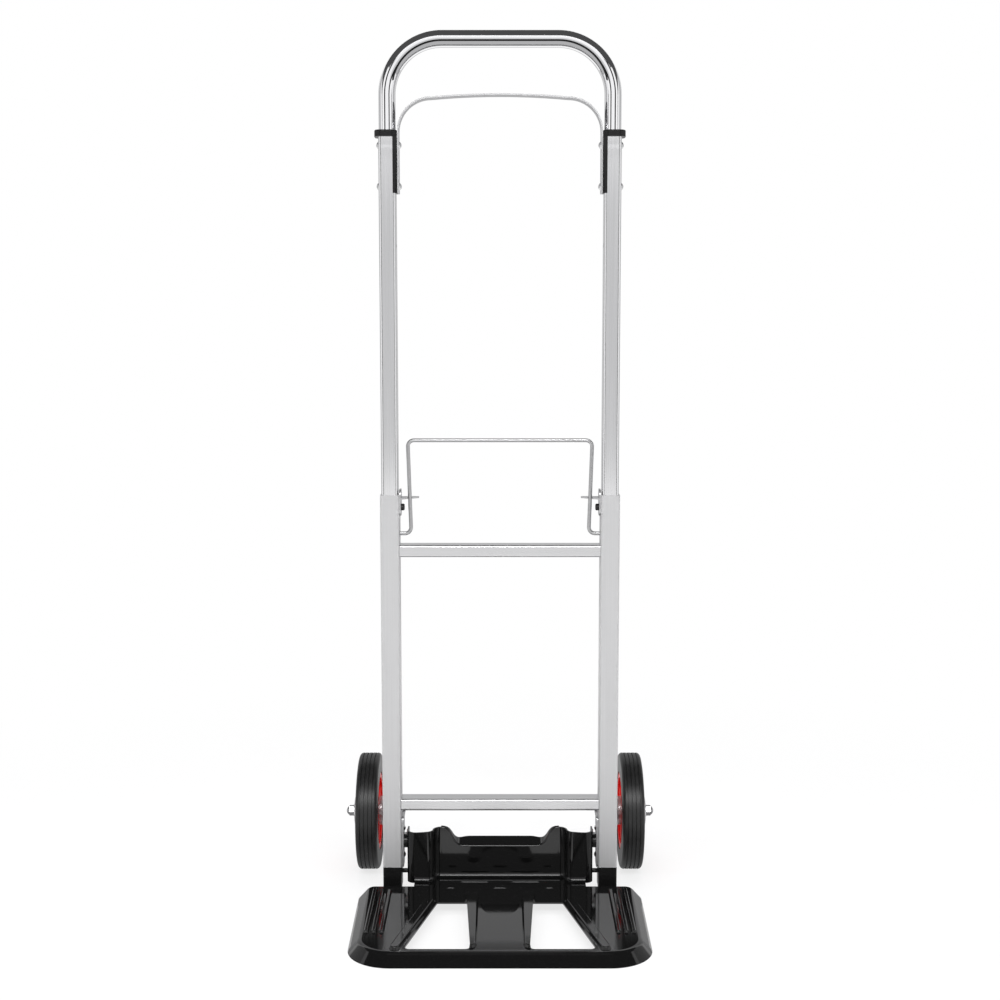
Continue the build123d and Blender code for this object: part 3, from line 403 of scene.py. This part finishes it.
def flag_material(name, tone):
    """Studio cloth that glows by itself, with a faint weave."""
    material = new_material(name, grey(0.0), metallic=0.0, roughness=1.0)
    weave = noise(material, scale=3.0)
    ramp = add_node(material, "ShaderNodeValToRGB")
    ramp.color_ramp.elements[0].color = (*grey(tone * 0.96), 1.0)
    ramp.color_ramp.elements[1].color = (*grey(tone * 1.04), 1.0)
    glow = add_node(material, "ShaderNodeEmission", Strength=1.0)
    join(material, weave, "Fac", ramp, "Fac")
    join(material, ramp, "Color", glow, "Color")
    join(material, glow, "Emission", material.node_tree.nodes["Material Output"], "Surface")
    return material


flag_cloths = {name: flag_material("flag_" + name, tone) for name, tone in flag_tones.items()}


def add_flag(name, corners, cloth):
    """A card that only mirror surfaces show, and that lights nothing else."""
    flag = add_card(name, corners, flag_cloths[cloth])
    flag.visible_camera = False
    flag.visible_diffuse = False
    flag.visible_shadow = False
    flag.visible_transmission = False


def add_studio_walls():
    """A dim ceiling, a front card between black strips, and sides that are darker at the rear."""
    y = tube_front - card_distance
    add_flag("overhead_flag", level(overhead_z, -side_card_x, side_card_x, y, overhead_back), "dim")
    add_flag("front_card", upright(y, -card_half, card_half, card_low, card_split), "soft")
    add_flag("upper_card", upright(y, -card_half, card_half, card_split, card_top), "bright")
    for side in (-1, 1):
        left, right = sorted((side * card_half, side * (card_half + frame_width)))
        add_flag("frame_flag", upright(y, left, right, 0.0, overhead_z), "black")
        x = side * side_card_x
        add_flag("side_card", sideways(x, side_card_front, side_card_turn, overhead_z), "pale")
        add_side_taper(x - side * taper_inset)
        add_flag("rear_side_card", sideways(x, side_card_turn, side_card_back, overhead_z), "mid")


def add_side_taper(x):
    """Dim cloth on a side card, which lets the ceiling's dark band run out down the handle's bends."""
    corners = [(x, side_card_front, taper_low), (x, taper_mid_y, taper_mid_z)]
    corners += [(x, side_card_back, overhead_z), (x, side_card_front, overhead_z)]
    add_flag("side_taper", corners, "dim")


def add_near_cards():
    """Trays over the toe plate, cards on the floor, and one that hides the strip lamp from the handle."""
    far, near = tube_front - tray_far, tube_front - tray_near
    add_flag("tray_front", sloped(tray_z + tray_rise, tray_z, tray_half, far, near), "black")
    inner = level(tray_z, -tray_inner_half, tray_inner_half, near, tube_front + tray_back)
    add_flag("tray_back", inner, "mid")
    front, turn = tube_front - floor_card_front, tube_front - floor_card_turn
    back = tube_front + floor_card_back
    add_flag("floor_card", level(flag_lift, -floor_card_half, floor_card_half, turn, back), "mid")
    for side in (-1, 1):
        left, right = sorted((side * floor_card_gap, side * floor_card_half))
        add_flag("skirt_card", level(flag_lift, left, right, front, turn), "mid")
    y = tube_front - handle_card_gap
    corners = upright(y, -handle_card_half, handle_card_half, handle_card_low, handle_card_high)
    add_flag("handle_card", corners, "white")


def add_back_card():
    corners = upright(back_card_y, -back_card_half, back_card_half, 0.0, back_card_top)
    add_flag("back_card", corners, "dusk")


def add_softbox(name, place, size, power):
    """A rectangular lamp aimed at the middle of the part."""
    light = bpy.data.lights.new(name, "AREA")
    light.shape = "RECTANGLE"
    light.size, light.size_y = size
    light.energy = power
    box = bpy.data.objects.new(name, light)
    bpy.context.scene.collection.objects.link(box)
    box.location = place
    aim = (cad_low + cad_high) / 2 - Vector(place)
    box.rotation_euler = aim.to_track_quat("-Z", "Y").to_euler()
    return box


def add_lamps():
    """Three soft lamps that mirrors don't show, and a strip that gives the folds their highlights."""
    key = add_softbox("key", key_place, key_size, key_power)
    fill = add_softbox("fill", fill_place, key_size, fill_power)
    top = add_softbox("top", top_place, top_size, top_power)
    for box in (key, fill, top):
        box.visible_glossy = False
    add_softbox("strip", strip_place, strip_size, strip_power)


add_camera()
add_floor()
add_world()
add_studio_walls()
add_near_cards()
add_back_card()
add_lamps()

bpy.context.scene.view_settings.view_transform = "Standard"
